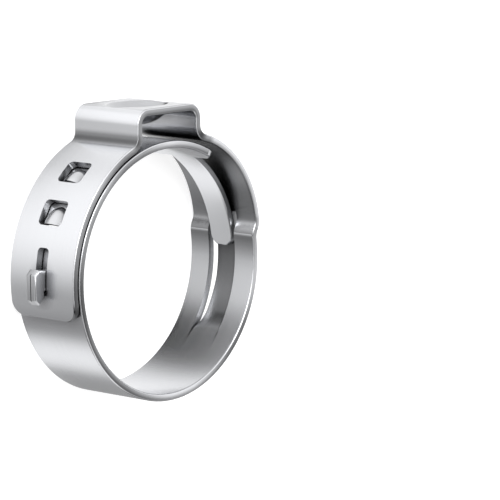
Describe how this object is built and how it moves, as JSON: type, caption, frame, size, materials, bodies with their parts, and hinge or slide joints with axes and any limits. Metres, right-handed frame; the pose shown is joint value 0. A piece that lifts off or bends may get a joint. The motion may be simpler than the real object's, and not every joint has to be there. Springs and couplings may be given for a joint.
{
  "type": "ear hose clamp",
  "caption": "stepless ear clamp of rolled flat strip: one raised ear, overlapping band with hooks in windows, tongue in a raised channel",
  "frame": {"origin": "centre of the bore on the clamp's lower rim plane", "axes": "+Z along the bore axis, the clamp lies on its rim; +Y from the bore's centre to the ear; +X to the side of the raised channel"},
  "size_m": [0.0235, 0.0238, 0.007],
  "materials": {
    "strip": "bright rolled stainless strip, fine lines along the strip"
  },
  "bodies": {
    "root": {"clamp_band": "strip"}
  },
  "joints": []
}
